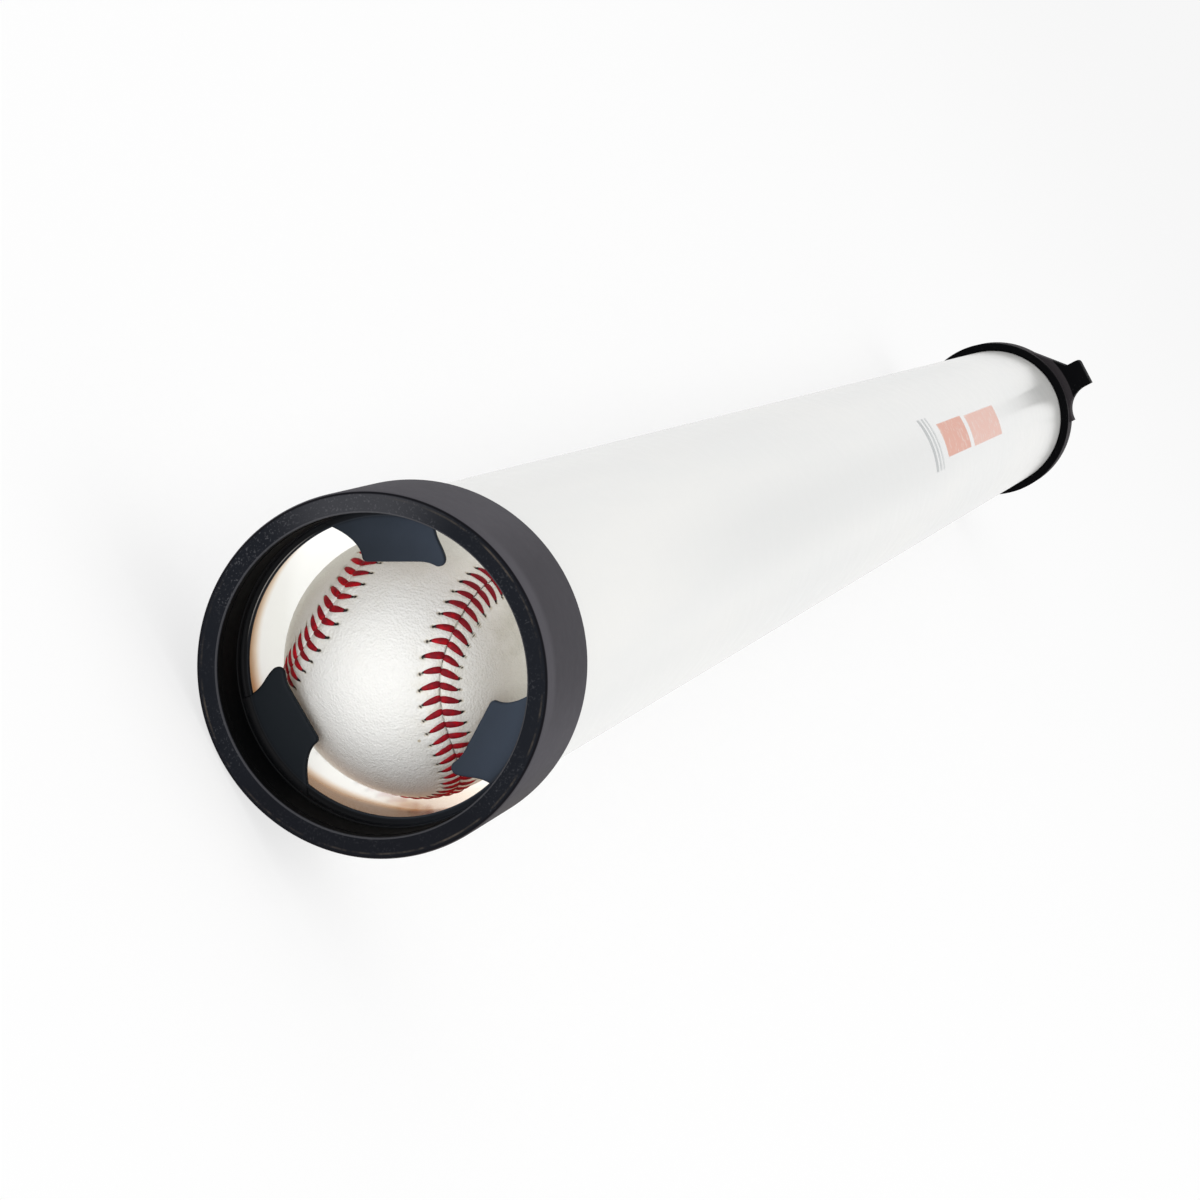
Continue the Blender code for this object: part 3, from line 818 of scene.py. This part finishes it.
ball = {
    "radius": 37.3 * mm,
    "cover": 1.2 * mm,
    "waist": 0.448,
    "turn": (33.3, -42.2, -7.2),
    "stitches": 108,
    "rowsPerStitch": 13,
    "edgeColumns": 20,
    "middleColumns": 8,
    "edgeReach": 9.0 * mm,
    "grooveDepth": 0.65 * mm,
    "grooveWidth": 0.19 * mm,
    "lineWidth": 0.10 * mm,
    "weltHeight": 0.28 * mm,
    "puckerHeight": 0.20 * mm,
    "holeDepth": 0.55 * mm,
    "colour": (0.89, 0.885, 0.86),
    "shadeColour": (0.74, 0.70, 0.59),
    "rimColour": (0.42, 0.33, 0.19),
    "holeColour": (0.025, 0.02, 0.018),
    "lineColour": (0.05, 0.03, 0.025),
    "soilColour": (0.54, 0.53, 0.47),
    "stainFade": (0.45, 0.8),
    "grimeFade": (0.40, 0.72),
    # painted shade towards the ball's outline, on two sides, the first mottled: a clock angle, and Fades
    # over the radius and over the cosine of the turn away from it
    "soilSide": (0.75, (16 * mm, 34 * mm), (0.0, 1.0)),
    "rubbedSide": (-1.9, (25 * mm, 35 * mm), (-0.2, 0.6)),
    "speckFade": (0.035, 0.055),
    "lineFade": (0.46, 0.60),
    "rimFade": (0.10, 0.45),
    "holeFade": (0.40, 0.65),
    "yarnColours": ((0.20, 0.19, 0.18), (0.36, 0.34, 0.31)),
    "shader": {"IOR": 1.45, "Specular IOR Level": 0.4},
    "roughness": 0.45,
}
stitch = {
    "reach": 5.35 * mm,
    "lean": -0.45,
    "stagger": -0.35 * mm,  # how far the two sides' stitches are apart along the seam
    "width": 1.95 * mm,
    "height": 0.95 * mm,
    "sink": 0.35 * mm,
    "colour": (0.46, 0.002, 0.010),
    "darkColour": (0.13, 0.008, 0.016),
    "endColour": (0.010, 0.009, 0.012),
    # painted shade: the thread is darker towards the ball's outline on the side that lies uppermost, and
    # not at the ball's front
    "soilSide": (0.1, (14 * mm, 30 * mm), (0.1, 0.9)),
    "oldFade": (0.60, 0.95),
    "endFade": (0.82, 0.90),
    "shader": {"IOR": 1.45, "Specular IOR Level": 0.2},
    "roughness": 0.55,
}
ballPlace = Matrix.Translation(ballCentre) @ Euler([radians(a) for a in ball["turn"]]).to_matrix().to_4x4()


def seamAt(turns):
    # the seam on a ball of radius 1, for turns from 0 to 4 pi
    waist = ball["waist"]
    polar = pi / 2 - (pi / 2 - waist) * np.cos(turns)
    around = turns / 2 + waist * np.sin(2 * turns)
    return np.stack((np.sin(polar) * np.cos(around), np.sin(polar) * np.sin(around), np.cos(polar)), -1)


seamTurns = np.linspace(0, 4 * pi, 8193)
seamLine = seamAt(seamTurns)
seamLengths = np.concatenate(([0], np.cumsum(np.linalg.norm(np.diff(seamLine, axis=0), axis=1))))
seamLength = seamLengths[-1]
seamPitch = seamLength * ball["radius"] / ball["stitches"]
seamTree = KDTree(len(seamTurns) - 1)
for index, point in enumerate(seamLine[:-1]):
    seamTree.insert(point, index)
seamTree.balance()


def leatherRecipe(board):
    hole, seam, line = [board.attribute(name) for name in ("hole", "seamNear", "seamLine")]
    stains = board.fade(board.noise(45, 4, 0.65), *ball["stainFade"])
    colour = board.mix(0.35 * stains, ball["colour"], ball["shadeColour"])
    grime = board.fade(board.noise(320, 4, 0.7), *ball["grimeFade"]) * seam
    colour = board.mix(0.9 * grime, colour, ball["shadeColour"])
    # painted shade towards the ball's outline on two sides, the first mottled by the stains' noise
    oneSideShade = board.oneSide(*ball["soilSide"], 0.6 * (stains - 0.5))
    darkLimb = board.oneSide(*ball["rubbedSide"])
    colour = board.mix(oneSideShade + 0.85 * darkLimb, colour, ball["soilColour"])
    broken = board.fade(board.noise(150, 3, 0.6), *ball["lineFade"])
    specks = 1 - board.fade(board.cells(95), *ball["speckFade"])
    colour = board.mix(0.7 * specks, colour, ball["rimColour"])
    colour = board.mix(line * (0.12 + 0.85 * broken), colour, ball["lineColour"])
    colour = board.mix(0.6 * board.fade(hole, *ball["rimFade"]), colour, ball["rimColour"])
    # painted shade in the stitch holes
    colour = board.mix(board.fade(hole, *ball["holeFade"]), colour, ball["holeColour"])
    creases = board.noise(420, 5, 0.65)
    return {
        "Base Color": colour,
        "Roughness": ball["roughness"] + 0.15 * board.noise(500, 3, 0.6),
        "Normal": board.bump(0.8 * board.cells(1500) + creases, 0.28 * mm, 0.8),
    }


def panelRows():
    # rows of unit vectors across one figure-eight cover, fine near its edges
    stitchRows = ball["stitches"] // 2 * ball["rowsPerStitch"]
    middle = np.interp(pi, seamTurns, seamLengths)
    shares = np.linspace(-middle, middle, stitchRows + 1)
    turns = np.sign(shares) * np.interp(np.abs(shares), seamLengths, seamTurns)
    starts, ends = seamAt(turns), seamAt(2 * pi - turns)
    angles = np.arccos(np.clip((starts * ends).sum(1), -1, 1))
    tangents = seamAt(turns + 1e-4) - seamAt(turns - 1e-4)
    tangents /= np.linalg.norm(tangents, axis=1)[:, None]
    rows = []
    for start, end, angle, tangent in zip(starts, ends, angles, tangents):
        half = angle / 2
        # a row that leaves the seam at a slant stays fine for longer
        slant = np.cross(start, end) / max(sin(angle), 1e-6)
        near = min(ball["edgeReach"] / ball["radius"] / max(abs(slant @ tangent), 0.4), 0.75 * half)
        fine = [near * (k / ball["edgeColumns"]) ** 1.7 for k in range(ball["edgeColumns"] + 1)]
        count = ball["middleColumns"]
        steps = fine + [near + (half - near) * k / count for k in range(1, count + 1)]
        steps = np.array(steps + [angle - s for s in steps[-2::-1]])
        if angle < 1e-6:
            rows.append(np.repeat(start[None], len(steps), 0))
            continue
        row = np.sin(angle - steps)[:, None] * start + np.sin(steps)[:, None] * end
        rows.append(row / np.sin(angle))
    return np.array(rows)


def hump(offset, width):
    # 1 at no offset, and next to nothing beyond two widths
    return np.exp(-((offset / width) ** 2))


def seamShape(points, side):
    # how far the leather stands out at each point, and how much it belongs to a hole or the seam
    nearest = [seamTree.find(p)[1:] for p in points]
    along = seamLengths[[n[0] for n in nearest]] / seamLength * ball["stitches"]
    away = np.array([n[1] for n in nearest]) * ball["radius"]
    phase = along - side * stitch["stagger"] / 2 / seamPitch - stitch["lean"] * away / stitch["reach"]
    beside = (phase - np.round(phase)) * seamPitch
    hole = hump(away - stitch["reach"] - 0.1 * mm, 0.75 * mm) * hump(beside, 0.42 * mm)
    height = ball["weltHeight"] * hump(away - 2.6 * mm, 2.3 * mm)
    height -= ball["puckerHeight"] * hump(away - 2.2 * mm, 1.7 * mm) * np.cos(tau * phase)
    height -= (ball["grooveDepth"] + ball["weltHeight"] * 0.3) * hump(away, ball["grooveWidth"])
    height -= ball["holeDepth"] * hole
    marks = {"hole": hole, "seamNear": hump(away, 5.5 * mm), "seamLine": hump(away, ball["lineWidth"])}
    return height, marks


def inPlace(mesh):
    # a mesh of the ball's own frame as a bmesh where the ball is
    mesh.transform(ballPlace)
    bm = bmesh.new()
    bm.from_mesh(mesh)
    bpy.data.meshes.remove(mesh)
    return bm


def makeCover(name, node, second, leather):
    rows = panelRows()
    count, columns = rows.shape[:2]
    flat = rows.reshape(-1, 3)
    swap = np.array([[0, 1, 0], [1, 0, 0], [0, 0, -1]]) if second else np.eye(3)
    flat = flat @ swap.T
    height, marks = seamShape(flat, 1 if second else -1)
    outside = flat * (ball["radius"] + height)[:, None]
    inside = flat * (ball["radius"] - ball["cover"])
    points = np.concatenate((outside, inside))
    faces = []
    total = len(flat)
    for i in range(count - 1):
        for j in range(columns - 1):
            a = i * columns + j
            quad = (a, a + 1, a + columns + 1, a + columns)
            faces.append(quad)
            faces.append([total + k for k in quad[::-1]])
        for a in (i * columns, i * columns + columns - 1):
            faces.append((a, a + columns, total + a + columns, total + a))
    mesh = bpy.data.meshes.new(name)
    mesh.from_pydata([tuple(p) for p in points], [], faces)
    for label, values in marks.items():
        attribute = mesh.attributes.new(label, "FLOAT", "POINT")
        attribute.data.foreach_set("value", np.concatenate((values, values)).astype(np.float32))
    finish(inPlace(mesh), name, leather, "ball_body", "ball_leather", node, merge=0.001 * mm, sharp=70)


def threadRecipe(board):
    end = board.attribute("threadShare")
    tone = board.noise(600, 3, 0.6)
    # painted shade on one side of the ball, added to random darker patches
    oneSideShade = 0.30 * board.oneSide(*stitch["soilSide"])
    patchesAndShade = board.fade(tone + 0.6 * board.noise(45, 2, 0.5) + oneSideShade, *stitch["oldFade"])
    red = board.mix(0.75 * patchesAndShade, stitch["colour"], stitch["darkColour"])
    return {
        # painted shade where the thread sinks into its hole
        "Base Color": board.mix(board.fade(end, *stitch["endFade"]), red, stitch["endColour"]),
        "Roughness": stitch["roughness"] + 0.2 * tone,
        "Normal": board.bump(board.noise(2600, 2, 0.6), 0.05 * mm, 0.7),
    }


def stitchTree():
    # two leaning stitches on each of the points spread along the seam
    tree = bpy.data.node_groups.new("seamStitches", "GeometryNodeTree")
    inputs = {
        "Stitch Count": "Int", "Seam Waist": "Float", "Ball Radius": "Float", "Reach": "Float",
        "Lean": "Float", "Width": "Float", "Height": "Float", "Sink": "Float", "Stagger": "Float",
        "Seed": "Int", "Thread": "Material"}
    for label, kind in inputs.items():
        tree.interface.new_socket(label, in_out="INPUT", socket_type=f"NodeSocket{kind}")
    tree.interface.new_socket("Geometry", in_out="OUTPUT", socket_type="NodeSocketGeometry")
    board = Board(tree)
    given = board.add("NodeGroupInput")
    count, waist, radius, reach, lean, width, height, sink, stagger, seed, thread = [
        given.other(label) for label in inputs]

    def combine(x, y, z):
        return board.add("ShaderNodeCombineXYZ", {0: x, 1: y, 2: z})

    samples = 1440
    line = board.add("GeometryNodeMeshLine", {"Count": samples})
    turn = board.add("GeometryNodeInputIndex") * (4 * pi / samples)
    polar = pi / 2 - (pi / 2 - waist) * turn.math("COSINE")
    around = turn / 2 + waist * (2 * turn).math("SINE")
    level = polar.math("SINE") * radius
    x, y, z = level * around.math("COSINE"), level * around.math("SINE"), polar.math("COSINE") * radius
    line = board.add("GeometryNodeSetPosition", {"Geometry": line, "Position": combine(x, y, z)})
    curve = board.add("GeometryNodeMeshToCurve", {0: line})
    curve = board.add("GeometryNodeSetSplineCyclic", {"Geometry": curve, "Cyclic": True})
    curve = board.add("GeometryNodeResampleCurve", {"Curve": curve, "Count": count}, mode="COUNT")

    drop = reach * reach / (2 * radius)
    path = board.add("GeometryNodeCurvePrimitiveBezierSegment", {
        "Resolution": 24,
        "Start": combine(-0.25 * mm, 0.0, 0 - sink),
        "Start Handle": combine(reach * 0.18, lean * 0.05, height * 0.60),
        "End Handle": combine(reach * 0.80, lean * 0.75, height * 0.75 - drop),
        "End": combine(reach, lean, 0 - sink - drop)})
    path = board.add("GeometryNodeResampleCurve", {"Curve": path, "Count": 11}, mode="COUNT")
    path = board.add("GeometryNodeSetCurveNormal", {"Curve": path}, mode="Z_UP")
    share = board.add("GeometryNodeSplineParameter")
    swell = share ** 0.25 * (1 - share) ** 0.8 * 1.90  # a leaf, widest a quarter of the way out
    path = board.add("GeometryNodeStoreNamedAttribute", {
        "Geometry": path, "Name": "threadShare", "Value": share}, data_type="FLOAT", domain="POINT")
    section = board.add("GeometryNodeCurvePrimitiveCircle", {"Resolution": 8, "Radius": 1.0})
    size = combine(width / 2, height / 2, 1.0)
    section = board.add("GeometryNodeTransform", {"Geometry": section, "Scale": size})
    one = board.add("GeometryNodeCurveToMesh", {
        "Curve": path, "Profile Curve": section, "Scale": 0.20 + 0.80 * swell, "Fill Caps": True})

    upright = board.add("FunctionNodeAlignRotationToVector", {
        "Vector": board.add("GeometryNodeInputPosition")}, axis="Z")
    facing = board.add("FunctionNodeAlignRotationToVector", {
        "Rotation": upright, "Vector": board.add("GeometryNodeInputTangent")}, axis="Y", pivot_axis="Z")
    joined = board.add("GeometryNodeJoinGeometry")
    for side in (1.0, -1.0):
        wobble = board.add("FunctionNodeRandomValue", {2: 0.94, 3: 1.06, "Seed": seed + side}, 1,
                           data_type="FLOAT")
        placed = board.add("GeometryNodeInstanceOnPoints", {
            "Points": curve, "Instance": one, "Rotation": facing,
            "Scale": combine(side * wobble, wobble, 1.0)})
        placed = board.add("GeometryNodeTranslateInstances", {
            "Instances": placed, "Translation": combine(0.0, stagger * (side / 2), 0.0)})
        tree.links.new(placed.socket, joined.socket.node.inputs[0])
    solid = board.add("GeometryNodeRealizeInstances", {"Geometry": joined})
    solid = board.add("GeometryNodeSetMaterial", {"Geometry": solid, "Material": thread})
    tree.links.new(solid.socket, tree.nodes.new("NodeGroupOutput").inputs[0])
    return tree


def makeStitches(thread):
    values = {
        "Stitch Count": ball["stitches"], "Seam Waist": ball["waist"], "Ball Radius": ball["radius"],
        "Reach": stitch["reach"], "Lean": stitch["lean"] * seamPitch, "Width": stitch["width"],
        "Height": stitch["height"], "Sink": stitch["sink"], "Stagger": stitch["stagger"],
        "Seed": 4, "Thread": thread}
    holder = newObject("stitchHolder", bpy.data.meshes.new("stitchHolder"))
    modifier = holder.modifiers.new("stitches", "NODES")
    modifier.node_group = stitchTree()
    for item in modifier.node_group.interface.items_tree:
        if item.in_out == "INPUT":
            modifier[item.identifier] = values[item.name]
    view = bpy.context.evaluated_depsgraph_get()
    mesh = bpy.data.meshes.new_from_object(holder.evaluated_get(view))
    bpy.data.objects.remove(holder, do_unlink=True)
    finish(inPlace(mesh), "seamStitches", thread, "ball_body", "red_thread", sharp=80)


def makeBall():
    leather = paint("ballLeather", ball["shader"], leatherRecipe)
    makeCover("ballCoverA", "ball_cover_a", False, leather)
    makeCover("ballCoverB", "ball_cover_b", True, leather)
    makeStitches(paint("redThread", stitch["shader"], threadRecipe))
    yarn = paint("woundYarn", {"Roughness": 0.9}, lambda board: {
        "Base Color": board.mix(board.noise(700, 3, 0.6), *ball["yarnColours"])})
    core = frame["nodes"]["ball_core"]
    core.data.materials.clear()
    core.data.materials.append(yarn)
    print("ball made")


# Stage, lights and camera

studio = {
    "floorShader": {"Base Color": (0.93, 0.93, 0.93, 1.0), "Roughness": 0.9, "Specular IOR Level": 0.0},
    "floorSize": 30,
    "whiteShare": 0.72,
    "worldStrength": 0.80,
    "lens": 90,
    "cameraPlace": (0.0251, -0.7374, 0.2826),
    "cameraTurn": (57.619, -58.211, 29.472),
    "lamps": [
        # name, place from the mouth, size, power, aimed at a point from the mouth
        ("frontLamp", (0.10, -2.4, 0.30), 1.1, 24, (0, 0.1, 0)),
        ("topLamp", (0.9, 0.5, 2.4), 1.6, 16, (0, 0.4, 0)),
    ],
}


def seenDirectly(board):
    # 1 for what the camera sees by itself, in gloss and through clear parts
    path = board.add("ShaderNodeLightPath", output="Is Camera Ray")
    rays = path + path.other("Is Glossy Ray") + path.other("Is Transmission Ray")
    return rays.math("MINIMUM", 1.0)


def makeFloor():
    made = paint("paleFloor", studio["floorShader"], lambda board: {})
    tree = made.node_tree
    board = Board(tree)
    lit = Wire(board, tree.nodes["Principled BSDF"].outputs[0])
    glow = board.add("ShaderNodeEmission", {"Color": (1, 1, 1, 1), "Strength": 1.0})
    share = seenDirectly(board) * studio["whiteShare"]
    both = board.add("ShaderNodeMixShader", {0: share, 1: lit, 2: glow})
    tree.links.new(both.socket, tree.nodes["Material Output"].inputs["Surface"])
    bm = bmesh.new()
    bmesh.ops.create_grid(bm, x_segments=1, y_segments=1, size=studio["floorSize"])
    floor = newObject("floor", meshFrom(bm, "floor"))
    floor.data.materials.append(made)


def makeWorld():
    world = bpy.data.worlds.new("softStudio")
    bpy.context.scene.world = world
    world.use_nodes = True
    board = Board(world.node_tree)
    dim, white = [
        board.add("ShaderNodeBackground", {"Color": (1, 1, 1, 1), "Strength": strength})
        for strength in (studio["worldStrength"], 1.0)]
    both = board.add("ShaderNodeMixShader", {0: seenDirectly(board), 1: dim, 2: white})
    output = world.node_tree.nodes["World Output"]
    world.node_tree.links.new(both.socket, output.inputs["Surface"])


def makeLamps():
    start = Vector((0, mouth, axisHeight))
    for name, offset, size, power, aim in studio["lamps"]:
        data = bpy.data.lights.new(name, "AREA")
        data.shape, data.size, data.energy = "DISK", size, power
        lamp = newObject(name, data)
        lamp.location = start + Vector(offset)
        lamp.rotation_euler = (Vector(aim) - Vector(offset)).to_track_quat("-Z", "Y").to_euler()


def makeCamera():
    data = bpy.data.cameras.new("camera")
    data.lens = studio["lens"]
    data.sensor_width = 36
    data.clip_start, data.clip_end = 0.01, 100
    camera = newObject("camera", data)
    camera.location = Vector((0, mouth, axisHeight)) + Vector(studio["cameraPlace"])
    camera.rotation_euler = [radians(a) for a in studio["cameraTurn"]]
    bpy.context.scene.camera = camera
    bpy.context.scene.view_settings.view_transform = "Standard"


makeCamera()
makeFloor()
makeWorld()
makeLamps()
print("stage, lights and camera set")
makeTube()
makeCollar()
makeFlaps()
makeCap()
makeBall()
